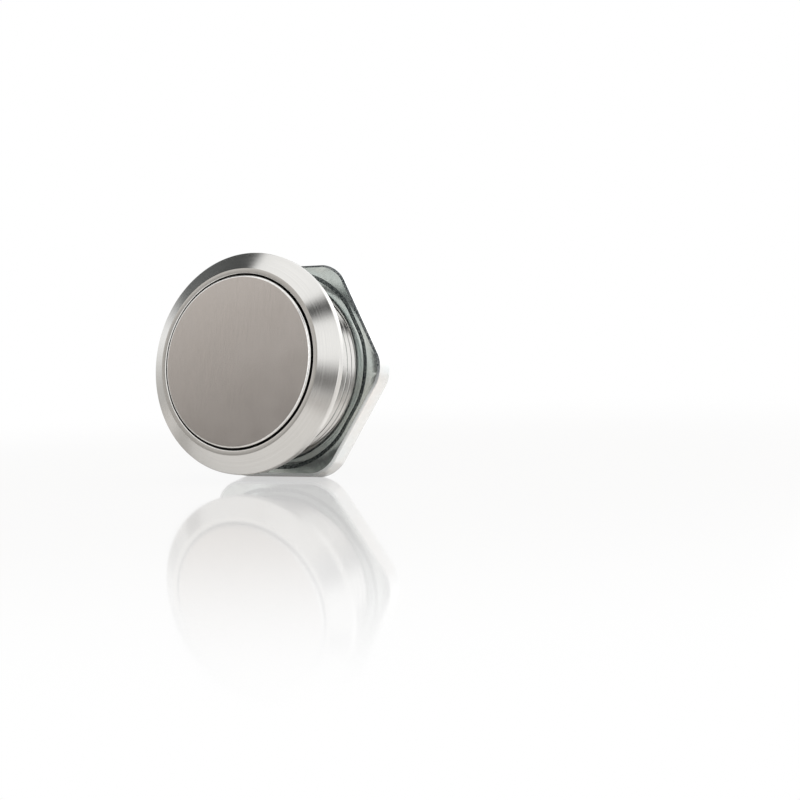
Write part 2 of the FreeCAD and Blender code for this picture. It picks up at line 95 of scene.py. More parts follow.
class SwitchSizes(bpy.types.PropertyGroup):
    steps: bpy.props.IntProperty(
        name="Steps", description="Steps round a turned piece", default=192, min=48
    )
    edge: length("Edge", "Rounding of the sharp edges of turned pieces", 0.00006)
    flange: length("Flange radius", "Outer radius of the bezel", SHELL_HIGH.x)
    ring_plane: length("Ring plane", "Place of the flat ring round the button", SHELL_LOW.y)
    ring: length("Ring radius", "Outer radius of the flat ring", 0.01175)
    rim: length("Rim", "Straight rim of the bezel", 0.00086)
    rim_corner: length("Rim corner", "Rounded corner between the cone and the rim", 0.0002)
    ring_chamfer: length("Ring chamfer", "Chamfer on the ring's inner edge", 0.00008)
    well: length("Well radius", "Radius of the well that the button sits in", 0.0111)
    well_floor: length("Well floor", "Place of the well's floor", -0.00055)
    bore: length("Bore", "Inner radius of the barrel", 0.0093)
    stem_hole: length("Stem hole", "Hole in the wall that the stem passes", 0.0031)
    wall_front: length("Wall front", "Front of the wall inside the barrel", 0.003)
    wall_rear: length("Wall rear", "Rear of the wall inside the barrel", CUP_FRONT)
    barrel: length("Barrel radius", "Crest radius of the thread", 0.011)
    barrel_end: length("Barrel end", "Rear end of the barrel", SHELL_HIGH.y)
    end_chamfer: length("End chamfer", "Chamfer on the barrel's rear end", 0.0002)
    snap_play: length("Snap ring play", "Play of the snap ring in its groove", 0.00004)
    pitch: length("Thread pitch", "Distance between two turns of the thread", 0.001)
    thread_depth: length("Thread depth", "Depth of the thread", 0.00058)
    thread_front: length("Thread front", "Where the thread starts behind the seat", 0.0011)
    shank: length("Shank", "Plain barrel between the seat and the thread", 0.0008)
    cap: length("Button radius", "Outer radius of the button", CAP_HIGH.x)
    cap_edge: length("Button edge", "Rounded edge of the button", 0.00026)
    cap_thickness: length("Button thickness", "Thickness of the button's disc", 0.00115)
    skirt: length("Skirt radius", "Outer radius of the button's skirt", 0.0092)
    skirt_inner: length("Skirt bore", "Inner radius of the button's skirt", 0.0073)
    skirt_end: length("Skirt end", "Rear end of the skirt", 0.0018)
    seal_front: length("Seal groove", "Front of the skirt's seal groove", -0.00015)
    seal_floor: length("Seal floor", "Floor radius of the skirt's seal groove", 0.0083)
    seal_width: length("Seal width", "Width of the skirt's seal groove", 0.00108)
    stem: length("Stem radius", "Radius of the button's stem", 0.003)
    clip_groove: length("Clip groove", "Floor radius of the clip's groove", 0.0023)
    clip_width: length("Clip width", "Width of the clip's groove", 0.0006)
    peg_hole: length("Peg hole", "Hole in the stem for the tip", 0.00123)
    peg_depth: length("Peg depth", "Depth of the hole in the stem", 0.00183)
    gasket_width: length("Gasket width", "Width of the ring under the bezel", 0.001)
    gasket_edge: length("Gasket edge", "Rounded edges of the ring under the bezel", 0.0001)
    skirt_seal_width: length("Skirt seal width", "Width of the ring on the skirt", 0.00092)
    skirt_seal_edge: length("Skirt seal edge", "Rounded edges of the ring on the skirt", 0.0003)
    spring: length("Spring radius", "From the axis to the return spring's wire", 0.00515)
    spring_wire: length("Spring wire", "Radius of the return spring's wire", 0.0003)
    spring_turns: number("Spring turns", "Turns of the return spring", 3.5)
    bridge_spring: length("Bridge spring", "From the axis to the bridge spring's wire", 0.0015)
    bridge_wire: length("Bridge spring wire", "Radius of the bridge spring's wire", 0.0002)
    bridge_turns: number("Bridge spring turns", "Turns of the bridge spring", 4.5)
    spring_pocket: length("Spring pocket", "Depth of the base's pocket for that spring", 0.0008)
    nut_corner: length("Nut corner", "Rounded corners of the nut", 0.004)
    corner_parts: bpy.props.IntProperty(
        name="Corner parts", description="Facets of each rounded corner", default=14, min=2
    )
    nut_edge: length("Nut edge", "Rounded front and back edges of the nut", 0.0003)
    nut_bore: length("Nut bore", "Bore of the nut", 0.01105)
    groove: length("Nut groove", "From the axis to the outside of the groove in its face", 0.01268)
    groove_inner: length("Groove inside", "From the axis to the inside of the groove", 0.01218)
    groove_corner: length("Groove corner", "Rounded corners of the groove's path", 0.0094)
    groove_shift: length("Groove shift", "How far the groove lies right of the axis", 0.00014)
    groove_depth: length("Groove depth", "Depth of the groove in the nut's face", 0.00012)
    countersink: length("Countersink", "Front countersink of the nut's bore", 0.0009)
    # Painted shadow: a dark line of plating laid round the nut's bore where it meets the thread
    bore_mark: length("Bore mark", "Inner radius of the dark line round the bore", 0.01145)
    bore_mark_width: length("Bore mark width", "Width of that dark line", 0.0003)
    back_sink: length("Rear countersink", "Rear countersink of the nut's bore", 0.00045)


class SwitchFinishes(bpy.types.PropertyGroup):
    bezel: colour("Bezel", "Turned stainless steel", (0.82, 0.81, 0.785))
    button: colour("Button", "Fine brushed stainless steel", (0.73, 0.69, 0.66))
    polished: colour("Polished edge", "Edge of the button", (0.87, 0.86, 0.84))
    # Painted shade: near-black steel laid on the well floor and the button's side wall, where the
    # gap round the button lies in shade
    darkened: colour("Darkened steel", "Steel in the gap round the button", (0.05, 0.048, 0.045))
    nut: colour("Nut", "Bright zinc plating", (0.67, 0.74, 0.725))
    # Painted light: a brighter copy of the nut's plating, laid on its flats and next to its bore
    # as highlights
    nut_lit_side: colour("Nut sides", "Brighter plating on the nut's flats", (0.97, 1.0, 1.0))
    # Painted shade: dark plating laid in the nut's groove, in a line round its bore and along its
    # upper front edges, where shade and dark reflections fall
    nut_shade: colour("Nut edge", "Worn plating at the nut's edge and groove", (0.09, 0.11, 0.115))
    spring: colour("Spring steel", "Drawn spring steel", (0.50, 0.50, 0.49))
    rubber: colour("Rubber", "Black sealing rubber", (0.018, 0.018, 0.019))
    insulator: colour("Insulator", "Black moulded plastic", (0.022, 0.022, 0.024))
    brass: colour("Brass", "Brass of the terminals", (0.78, 0.60, 0.33))
    silver: colour("Silver", "Silver of the contact rivets", (0.88, 0.87, 0.84))


class SwitchStudio(bpy.types.PropertyGroup):
    azimuth: angle("Azimuth", "Camera's angle to the right of the front", 35.3)
    elevation: angle("Elevation", "Camera's angle above the level of the switch", -6.3)
    roll: angle("Roll", "Camera's turn about its line of sight", -3.2)
    distance: length("Distance", "From the camera to the bezel's ring", 0.25)
    lens: number("Focal length", "On a 36 mm sensor", 90.09, unit="CAMERA")
    picture: number("Picture", "Side of the picture in pixels", 800)
    centre_u: number("Ring column", "Pixel column of the ring's centre", 237.8)
    centre_v: number("Ring row", "Pixel row of the ring's centre", 361.5)
    floor_tilt: angle("Floor tilt", "How far the switch leans back on its nut", 10.5)
    rest_line: length("Rest line", "From the nut's rear to the line that it leans on", 0.0004)
    floor_side: length("Floor side", "Side of the square floor", 1.2)
    floor_colour: colour("Floor", "Warm pale floor", (0.41, 0.368, 0.326))
    floor_gloss: share("Floor gloss", "Share of the floor's mirror reflection", 0.41)
    floor_seen: share("Floor white", "Plain white in the floor as the camera sees it", 0.89)
    floor_reflected: share("Reflected white", "Plain white in the floor as metal reflects it", 0.3)
    floor_fade: length("Floor fade", "Distance at which the floor starts to fade out", 0.03)
    floor_end: length("Floor end", "Distance at which the floor is gone", 0.155)


# Modelling steps that several pieces share


def clear_selection():
    """Back to object mode with nothing selected."""
    if bpy.context.object and bpy.context.object.mode != "OBJECT":
        bpy.ops.object.mode_set(mode="OBJECT")
    bpy.ops.object.select_all(action="DESELECT")


def make_active(piece):
    clear_selection()
    piece.select_set(True)
    bpy.context.view_layer.objects.active = piece


def name_piece(name):
    piece = bpy.context.object
    piece.name = name
    piece.data.name = name
    bpy.ops.object.transform_apply(location=True, rotation=True, scale=True)
    return piece


def edit_all(kind):
    """Go to edit mode with all vertices, edges or faces selected."""
    bpy.ops.object.mode_set(mode="EDIT")
    bpy.ops.mesh.select_mode(type=kind)
    bpy.ops.mesh.select_all(action="SELECT")


def start_ring(name, radius, place):
    """Ring of edges round the Y axis, left in edit mode with all of it selected."""
    clear_selection()
    bpy.ops.mesh.primitive_circle_add(
        vertices=bpy.context.scene.switch_sizes.steps,
        radius=radius,
        location=(0, place, 0),
        rotation=(pi / 2, 0, 0),
    )
    piece = name_piece(name)
    edit_all("EDGE")
    return piece


def carry_ring(corners):
    """Extrude the selected ring from corner to corner, each given as (radius, place)."""
    radius, place = corners[0]
    for next_radius, next_place in corners[1:]:
        step = (0, next_place - place, 0)
        bpy.ops.mesh.extrude_region_move(TRANSFORM_OT_translate={"value": step})
        growth = next_radius / radius
        if abs(growth - 1) > 1e-9:
            bpy.ops.transform.resize(
                value=(growth, 1, growth), center_override=(0, next_place, 0)
            )
        radius, place = next_radius, next_place


def select_where(piece, kind, test):
    """Select, in edit mode, the edges or faces that pass a test."""
    bpy.ops.mesh.select_mode(type=kind)
    bpy.ops.mesh.select_all(action="DESELECT")
    mesh = bmesh.from_edit_mesh(piece.data)
    for element in mesh.edges if kind == "EDGE" else mesh.faces:
        if test(element):
            element.select_set(True)
    mesh.select_flush_mode()
    bmesh.update_edit_mesh(piece.data)


def bridge_open_rings(piece, low=-inf, high=inf):
    """Bridge the two open rings whose places along Y lie between low and high."""

    def is_between(edge):
        place = (edge.verts[0].co.y + edge.verts[1].co.y) / 2
        return edge.is_boundary and low < place < high

    select_where(piece, "EDGE", is_between)
    bpy.ops.mesh.bridge_edge_loops()


def face_outwards():
    bpy.ops.mesh.select_all(action="SELECT")
    bpy.ops.mesh.remove_doubles(threshold=1e-7)
    bpy.ops.mesh.normals_make_consistent(inside=False)
    bpy.ops.object.mode_set(mode="OBJECT")


def turned(name, corners, ends="fill"):
    """Piece turned about the Y axis: its outline closes on itself, or its ends are filled."""
    piece = start_ring(name, *corners[0])
    carry_ring(corners)
    if ends == "join":
        bridge_open_rings(piece)
    elif ends == "fill":
        bpy.ops.mesh.select_all(action="SELECT")
        bpy.ops.mesh.fill_holes(sides=0)
    if ends != "open":
        face_outwards()
    return piece


def arc(radius, place, size, start, end, parts=8):
    """Corners along a rounded edge about (radius, place), with angles in degrees from +X."""
    angles = [radians(start + (end - start) * part / parts) for part in range(parts + 1)]
    return [(radius + size * cos(a), place + size * sin(a)) for a in angles]


def apply_modifier(piece, kind, **settings):
    make_active(piece)
    modifier = piece.modifiers.new(kind.title(), kind)
    for name, value in settings.items():
        setattr(modifier, name, value)
    bpy.ops.object.modifier_apply(modifier=modifier.name)


def round_edges(piece, width, sharp=35):
    """Round a little all edges that turn by more than the angle sharp, in degrees."""
    apply_modifier(
        piece, "BEVEL", width=width, segments=3, limit_method="ANGLE", angle_limit=radians(sharp)
    )


def shade_piece(piece, sharp=35):
    """Shade curves as smooth and keep flat faces flat."""
    make_active(piece)
    bpy.ops.object.shade_smooth_by_angle(angle=radians(sharp))
    apply_modifier(piece, "WEIGHTED_NORMAL", keep_sharp=True)


def finish_piece(piece, body, node, material):
    """Give a piece its finish, hang it on the body that it rides on, and hide the solid that it
    stands in for.
    """
    shade_piece(piece)
    piece.data.materials.clear()
    piece.data.materials.append(finish(material))
    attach(piece, body)
    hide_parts(node)
    clear_selection()


def threaded_sleeve(name, sizes, front, rear):
    """Open tube with a helical thread that runs out towards both ends."""
    depth = sizes.thread_depth
    root = sizes.barrel - depth
    pitch = sizes.pitch
    turns = ceil((rear - front) / pitch) + 3
    clear_selection()
    bpy.ops.mesh.primitive_plane_add(size=pitch, location=(root, front - 2 * pitch, 0))
    sleeve = name_piece(name)
    edit_all("VERT")
    bpy.ops.mesh.merge(type="CENTER")
    half_angle = radians(30)
    flank = depth * tan(half_angle)
    crest_flat = pitch / 8
    valley = pitch - 2 * flank - crest_flat
    # Shares of a flank's height and length: it eases in, runs straight and eases out
    flank_parts = ((0.08, 0.16), (0.84, 0.68), (0.08, 0.16))
    steps = [
        (0, valley / 2),
        *((out * depth, along * flank) for out, along in flank_parts),
        (0, crest_flat),
        *((-out * depth, along * flank) for out, along in flank_parts),
        (0, valley / 2),
    ]
    for out, along in steps:
        bpy.ops.mesh.extrude_vertices_move(TRANSFORM_OT_translate={"value": (out, along, 0)})
    apply_modifier(
        sleeve,
        "SCREW",
        axis="Y",
        screw_offset=pitch,
        iterations=turns,
        steps=sizes.steps,
        render_steps=sizes.steps,
    )
    run_out = pitch * 0.8
    for vertex in sleeve.data.vertices:
        x, y, z = vertex.co
        radius = hypot(x, z)
        portion = max(0, min(1, (y - front) / run_out, (rear - y) / run_out))
        scale = (root + (radius - root) * portion) / radius
        vertex.co = (x * scale, y, z * scale)
    edit_all("VERT")
    bpy.ops.mesh.remove_doubles(threshold=1e-6)
    for place, along in ((front, -1), (rear, 1)):
        bpy.ops.mesh.select_all(action="SELECT")
        bpy.ops.mesh.bisect(
            plane_co=(0, place, 0), plane_no=(0, along, 0), clear_outer=True, threshold=1e-7
        )
    bpy.ops.object.mode_set(mode="OBJECT")
    return sleeve


def join_pieces(piece, other):
    make_active(piece)
    other.select_set(True)
    bpy.ops.object.join()
    bpy.ops.object.mode_set(mode="EDIT")


# Materials


def put(tree, kind, **sockets):
    """Add a shader node and set or link its inputs by name."""
    node = tree.nodes.new(kind)
    for name, value in sockets.items():
        fill(tree, node, name.replace("_", " "), value)
    return node


def fill(tree, node, name, value):
    socket = node.inputs[name]
    if isinstance(value, bpy.types.NodeSocket):
        tree.links.new(value, socket)
    else:
        socket.default_value = value


def calculate(tree, operation, first, second=0.0):
    node = tree.nodes.new("ShaderNodeMath")
    node.operation = operation
    fill(tree, node, 0, first)
    fill(tree, node, 1, second)
    return node.outputs[0]


def times(tree, first, second):
    return calculate(tree, "MULTIPLY", first, second)


def mix_colours(tree, factor, first, second):
    node = tree.nodes.new("ShaderNodeMix")
    node.data_type = "RGBA"
    for place, value in ((0, factor), (6, first), (7, second)):
        fill(tree, node, place, value)
    return node.outputs[2]


def mix_shaders(tree, factor, first, second):
    node = tree.nodes.new("ShaderNodeMixShader")
    for place, value in ((0, factor), (1, first), (2, second)):
        fill(tree, node, place, value)
    return node.outputs[0]


def spread(tree, value, low, high, easing="LINEAR"):
    """Spread the values between low and high over 0 to 1."""
    node = put(tree, "ShaderNodeMapRange", Value=value, From_Min=low, From_Max=high)
    node.interpolation_type = easing
    return node.outputs[0]


def vary(tree, mask, low, high):
    """Value that runs from low to high with a mask."""
    return put(tree, "ShaderNodeMapRange", Value=mask, To_Min=low, To_Max=high).outputs[0]


def noise(tree, vector, scale=1.0, detail=3.0, roughness=0.5, fourth=None):
    """Noise at a vector, and at a fourth value where one is given."""
    node = put(tree, "ShaderNodeTexNoise", Vector=vector, Scale=scale, Detail=detail)
    fill(tree, node, "Roughness", roughness)
    if fourth is not None:
        node.noise_dimensions = "4D"
        fill(tree, node, "W", fourth)
    return node.outputs["Fac"]


def new_group(name, inputs, outputs):
    """Shader node group whose inputs and outputs are plain values."""
    tree = bpy.data.node_groups.new(name, "ShaderNodeTree")
    for direction, sockets in (("INPUT", inputs), ("OUTPUT", outputs)):
        for socket in sockets:
            tree.interface.new_socket(socket, in_out=direction, socket_type="NodeSocketFloat")
    given = tree.nodes.new("NodeGroupInput").outputs
    return tree, given, tree.nodes.new("NodeGroupOutput")


def object_place(tree):
    return tree.nodes.new("ShaderNodeTexCoord").outputs["Object"]


def object_xyz(tree):
    return put(tree, "ShaderNodeSeparateXYZ", Vector=object_place(tree)).outputs


def turning_marks_group():
    """Fine rings left by the lathe: they follow the radius and fade in and out round it."""
    tree, given, result = new_group("Turning marks", ("Rings", "Drift"), ("Height", "Tone"))
    x, y, z = object_xyz(tree)
    rings, drift = given["Rings"], given["Drift"]
    squares = calculate(tree, "ADD", times(tree, x, x), times(tree, z, z))
    join = put(
        tree,
        "ShaderNodeCombineXYZ",
        X=times(tree, calculate(tree, "SQRT", squares), rings),
        Y=times(tree, y, rings),
        Z=times(tree, x, drift),
    )
    marks = noise(tree, join.outputs[0], roughness=0.6, fourth=times(tree, z, drift))
    fill(tree, result, "Height", marks)
    fill(tree, result, "Tone", spread(tree, marks, 0.35, 0.65))
    return tree


def smudges_group():
    """Soft uneven patches as left by handling and light oxidation."""
    tree, given, result = new_group("Smudges", ("Scale",), ("Mask",))
    patches = noise(tree, object_place(tree), given["Scale"], detail=4.0)
    fill(tree, result, "Mask", spread(tree, patches, 0.38, 0.68))
    return tree


def fine_grain_group():
    """Small grain of moulded plastic, rubber or plating."""
    tree, given, result = new_group("Fine grain", ("Scale",), ("Height", "Mask"))
    grain = noise(tree, object_place(tree), given["Scale"])
    fill(tree, result, "Height", grain)
    fill(tree, result, "Mask", spread(tree, grain, 0.4, 0.6))
    return tree


def brush_grain_group():
    """Fine strokes that run up the button, uneven along their length."""
    tree, given, result = new_group("Brush grain", ("Across",), ("Height", "Mask"))
    x, y, z = object_xyz(tree)
    across = given["Across"]
    join = put(
        tree,
        "ShaderNodeCombineXYZ",
        X=times(tree, x, across),
        Y=times(tree, y, across),
        Z=times(tree, z, times(tree, across, 0.12)),
    )
    strokes = noise(tree, join.outputs[0], roughness=0.6)
    fill(tree, result, "Height", strokes)
    fill(tree, result, "Mask", spread(tree, strokes, 0.35, 0.65))
    return tree


def group_node(tree, name, builder, **values):
    """Place a shared node group, built once, with its own values, and give its outputs."""
    node = tree.nodes.new("ShaderNodeGroup")
    node.node_tree = bpy.data.node_groups.get(name) or builder()
    for socket, value in values.items():
        node.inputs[socket].default_value = value
    return node.outputs


def smudge_mask(tree, scale):
    return group_node(tree, "Smudges", smudges_group, Scale=scale)["Mask"]


def fine_grain(tree, scale):
    return group_node(tree, "Fine grain", fine_grain_group, Scale=scale)


def shaded(colour_value, factor):
    return tuple(channel * factor for channel in colour_value[:3]) + (1.0,)


def new_material(name):
    """Material that holds a Principled shader, returned with its node tree."""
    material = bpy.data.materials.new(name)
    material.use_nodes = True
    return material, material.node_tree


def dress(material, base, metallic, roughness, height, depth):
    """Give a material's Principled shader its colour, metal, roughness and bump."""
    tree = material.node_tree
    bump = put(tree, "ShaderNodeBump", Height=height, Distance=depth, Strength=1.0)
    sockets = {
        "Base Color": base,
        "Metallic": metallic,
        "Roughness": roughness,
        "Normal": bump.outputs["Normal"],
    }
    for name, value in sockets.items():
        fill(tree, tree.nodes["Principled BSDF"], name, value)
    return material


def turned_metal(name, base, rough, rings, depth):
    """Lathe-turned metal with ring marks, a soft sheen across them and light smudges."""
    material, tree = new_material(name)
    marks = group_node(tree, "Turning marks", turning_marks_group, Rings=rings, Drift=60.0)
    smudge = smudge_mask(tree, 150.0)
    tone = mix_colours(tree, marks["Tone"], shaded(base, 0.96), shaded(base, 1.03))
    worn = mix_colours(tree, vary(tree, smudge, 0.0, 0.25), tone, shaded(base, 0.92))
    sheen = vary(tree, marks["Tone"], rough * 0.85, rough * 1.1)
    roughness = calculate(tree, "ADD", sheen, vary(tree, smudge, 0.0, 0.06))
    return dress(material, worn, 1.0, roughness, marks["Height"], depth)


def brushed_metal(name, base, rough, depth):
    """Satin metal with faint strokes and soft uneven patches."""
    material, tree = new_material(name)
    strokes = group_node(tree, "Brush grain", brush_grain_group, Across=7000.0)
    smudge = smudge_mask(tree, 220.0)
    tone = mix_colours(tree, strokes["Mask"], shaded(base, 0.97), shaded(base, 1.02))
    worn = mix_colours(tree, vary(tree, smudge, 0.0, 0.4), tone, shaded(base, 0.93))
    roughness = vary(tree, smudge, rough * 0.9, rough * 1.15)
    return dress(material, worn, 1.0, roughness, strokes["Height"], depth)


def plated_metal(name, base, rough, metallic):
    """Bright zinc plating: a cool mirror with a faint bloom and a fine orange peel."""
    material, tree = new_material(name)
    bloom = smudge_mask(tree, 260.0)
    fine = fine_grain(tree, 2600.0)
    warm = (base[0] * 1.04, base[1] * 0.98, base[2] * 0.95, 1.0)
    toned = mix_colours(tree, bloom, shaded(base, 1.0), warm)
    specks = vary(tree, fine["Mask"], 0.0, 0.12)
    speckled = mix_colours(tree, specks, toned, shaded(base, 0.7))
    hazy = vary(tree, bloom, rough, rough * 1.5)
    roughness = calculate(tree, "ADD", hazy, vary(tree, fine["Mask"], 0.0, 0.04))
    return dress(material, speckled, metallic, roughness, fine["Height"], 0.000004)


def shade_plating(name, worn, plated):
    """Painted shade: dark metal with grains of plating in it, for the nut's groove and the line
    round its bore.
    """
    material, tree = new_material(name)
    fine = fine_grain(tree, 5200.0)
    tone = mix_colours(tree, fine["Mask"], shaded(worn, 0.5), shaded(plated, 0.3))
    roughness = vary(tree, fine["Mask"], 0.5, 0.3)
    return dress(material, tone, 1.0, roughness, fine["Height"], 0.000012)


def shade_edge(name, worn, plated):
    """Painted shade along the nut's upper front edges, fading by height to painted light along the
    lower ones.
    """
    material, tree = new_material(name)
    fine = fine_grain(tree, 5200.0)
    # Painted light and shade: the mask runs from the dark tone at the top to the bright plating at
    # the bottom
    portion = spread(tree, object_xyz(tree)["Z"], 0.0005, -0.0035)
    grain = mix_colours(tree, fine["Mask"], shaded(worn, 0.6), shaded(plated, 0.25))
    tone = mix_colours(tree, portion, grain, shaded(plated, 0.8))
    return dress(material, tone, 1.0, 0.3, fine["Height"], 0.00001)


def grained_solid(name, base, rough, scale, depth, metallic):
    """Moulded plastic, rubber or drawn metal with a fine grain and uneven gloss."""
    material, tree = new_material(name)
    fine = fine_grain(tree, scale)
    smudge = smudge_mask(tree, 300.0)
    grain = mix_colours(tree, fine["Mask"], shaded(base, 0.88), shaded(base, 1.1))
    toned = mix_colours(tree, vary(tree, smudge, 0.0, 0.3), grain, shaded(base, 1.2))
    roughness = vary(tree, smudge, rough * 0.85, min(1.0, rough * 1.15))
    return dress(material, toned, metallic, roughness, fine["Height"], depth)


def finish(name):
    """The named finish, made the first time that a piece asks for it."""
    if name in bpy.data.materials:
        return bpy.data.materials[name]
    tones = bpy.context.scene.switch_finishes
    # Each finish has its maker, its colour and what else the maker asks for
    finishes = {
        "Turned stainless": (turned_metal, tones.bezel, 0.16, 12000.0, 0.0000006),
        "Brushed button": (brushed_metal, tones.button, 0.2, 0.0000003),
        "Polished edge": (grained_solid, tones.polished, 0.16, 6000.0, 0.0000001, 1.0),
        # Painted shade for the gap round the button
        "Darkened steel": (grained_solid, tones.darkened, 0.5, 5000.0, 0.000001, 1.0),
        "Zinc plating": (plated_metal, tones.nut, 0.12, 0.8),
        # Painted light on the nut's flats and next to its bore
        "Bright plating": (plated_metal, tones.nut_lit_side, 0.14, 0.65),
        # Painted dark reflection in the nut's groove and painted shadow in a line round its bore
        "Worn plating": (shade_plating, tones.nut_shade, tones.nut),
        # Painted shade along the nut's upper front edges and painted light along the lower ones
        "Worn edge": (shade_edge, tones.nut_shade, tones.nut_lit_side),
        "Spring steel": (grained_solid, tones.spring, 0.3, 5000.0, 0.000001, 1.0),
        "Sealing rubber": (grained_solid, tones.rubber, 0.6, 9000.0, 0.000004, 0.0),
        "Moulded insulator": (grained_solid, tones.insulator, 0.42, 7000.0, 0.000005, 0.0),
        "Terminal brass": (grained_solid, tones.brass, 0.28, 4000.0, 0.000001, 1.0),
        "Contact silver": (grained_solid, tones.silver, 0.25, 4000.0, 0.000001, 1.0),
    }
    maker, *values = finishes[name]
    return maker(name, *values)


def paint_faces(piece, others, pick):
    """Add other finishes to a piece, and give each face the one that pick names.

    Pick is told the face's centre and how squarely it faces along Y, from 0 to 1.
    """
    for name in others:
        piece.data.materials.append(finish(name))
    for face in piece.data.polygons:
        name = pick(face.center, abs(face.normal.y))
        face.material_index = piece.data.materials.find(name)


# Pieces


class SWITCH_OT_bezel(bpy.types.Operator):
    """Turned bezel and threaded barrel, one piece of stainless steel"""

    bl_idname = "switch.add_bezel"
    bl_label = "Bezel and barrel"

    def execute(self, context):
        s = context.scene.switch_sizes
        root = s.barrel - s.thread_depth
        thread_rear = s.barrel_end - s.end_chamfer
        slope = atan2(-s.rim - s.ring_plane, s.flange - s.ring)
        tilt = 90 - degrees(slope)
        corner_place = s.rim - s.rim_corner * tan(radians(tilt) / 2)
        corners = [
            (root, s.thread_front),
            (s.barrel, s.shank),
            (s.barrel, 0),
            (s.flange, 0),
            *arc(s.flange - s.rim_corner, -corner_place, s.rim_corner, 0, -tilt),
            (s.ring, s.ring_plane),
            (s.well + s.ring_chamfer, s.ring_plane),
            (s.well, s.ring_plane + s.ring_chamfer),
            (s.well, s.well_floor),
            (s.bore, s.well_floor),
            (s.bore, s.wall_front),
            (s.stem_hole, s.wall_front),
            (s.stem_hole, s.wall_rear),
            (s.bore, s.wall_rear),
            (s.bore, SNAP_LOW.y),
            (SNAP_HIGH.z + s.snap_play, SNAP_LOW.y),
            (SNAP_HIGH.z + s.snap_play, SNAP_HIGH.y + s.snap_play),
            (s.bore, SNAP_HIGH.y + s.snap_play),
            (s.bore, s.barrel_end),
            (root - s.end_chamfer, s.barrel_end),
            (root, thread_rear),
        ]
        piece = turned("bezel_and_barrel", corners, ends="open")
        clear_selection()
        round_edges(piece, s.edge, sharp=40)
        shade_piece(piece)
        gap = 0.00005
        sleeve = threaded_sleeve("thread", s, s.thread_front + gap, thread_rear - gap)
        join_pieces(piece, sleeve)
        bridge_open_rings(piece, s.thread_front - gap, s.thread_front + 2 * gap)
        bridge_open_rings(piece, thread_rear - 2 * gap, thread_rear + gap)
        face_outwards()
        finish_piece(piece, "housing", "body_shell", "Turned stainless")

        # Painted shade: the well's floor round the button takes near-black steel
        def pick(centre, facing):
            on_floor = abs(centre.y - s.well_floor) < s.edge
            in_well = s.bore < hypot(centre.x, centre.z) < s.well
            return "Darkened steel" if on_floor and in_well else "Turned stainless"

        paint_faces(piece, ("Darkened steel",), pick)
        return {"FINISHED"}


class SWITCH_OT_button(bpy.types.Operator):
    """Button disc with its guide skirt and stem"""

    bl_idname = "switch.add_button"
    bl_label = "Button"

    def execute(self, context):
        s = context.scene.switch_sizes
        front = CAP_LOW.y
        stem_end = CAP_HIGH.y
        disc_rear = front + s.cap_thickness
        corners = [
            *arc(s.cap - s.cap_edge, front + s.cap_edge, s.cap_edge, -90, 0),
            (s.cap, disc_rear),
            (s.skirt, disc_rear),
            (s.skirt, s.seal_front),
            (s.seal_floor, s.seal_front),
            (s.seal_floor, s.seal_front + s.seal_width),
            (s.skirt, s.seal_front + s.seal_width),
            (s.skirt, s.skirt_end),
            (s.skirt_inner, s.skirt_end),
            (s.skirt_inner, disc_rear),
            (s.stem, disc_rear),
            (s.stem, CLIP_FRONT),
            (s.clip_groove, CLIP_FRONT),
            (s.clip_groove, CLIP_FRONT + s.clip_width),
            (s.stem, CLIP_FRONT + s.clip_width),
            (s.stem, stem_end),
            (s.peg_hole, stem_end),
            (s.peg_hole, stem_end - s.peg_depth),
        ]
        piece = turned("button", corners)
        round_edges(piece, s.edge)
        finish_piece(piece, "button", "button_cap", "Brushed button")

        # Painted shade: the button's side wall down in the gap takes near-black steel
        def pick(centre, facing):
            if hypot(centre.x, centre.z) <= s.cap - s.cap_edge:
                return "Brushed button"
            return "Polished edge" if centre.y < front + s.cap_edge else "Darkened steel"

        paint_faces(piece, ("Polished edge", "Darkened steel"), pick)
        return {"FINISHED"}


def groove_cutter(s, front):
    """Ring that cuts the nut's groove, on a path between a circle and a hexagon."""
    clear_selection()
    above, bottom = front - s.groove_depth, front + s.groove_depth
    bpy.ops.mesh.primitive_circle_add(
        vertices=6,
        radius=s.groove_inner / cos(pi / 6),
        location=(0, above, 0),
        rotation=(pi / 2, pi / 6, 0),
    )
    cutter = name_piece("groove_cutter")
    edit_all("VERT")
    bpy.ops.mesh.bevel(
        offset=s.groove_corner * tan(pi / 6), segments=s.corner_parts, affect="VERTICES"
    )
    edit_all("EDGE")
    carry_ring(
        [(s.groove_inner, above), (s.groove_inner, bottom), (s.groove, bottom), (s.groove, above)]
    )
    bridge_open_rings(cutter, above - NEAR, above + NEAR)
    bpy.ops.mesh.select_all(action="SELECT")
    bpy.ops.transform.translate(value=(s.groove_shift, 0, 0))
    face_outwards()
    return cutter


def flat_distance(x, z):
    """Distance from the axis, measured square to the nearest of the nut's six flats."""
    return max(x * cos(turn) + z * sin(turn) for turn in (pi / 6 + pi / 3 * n for n in range(6)))


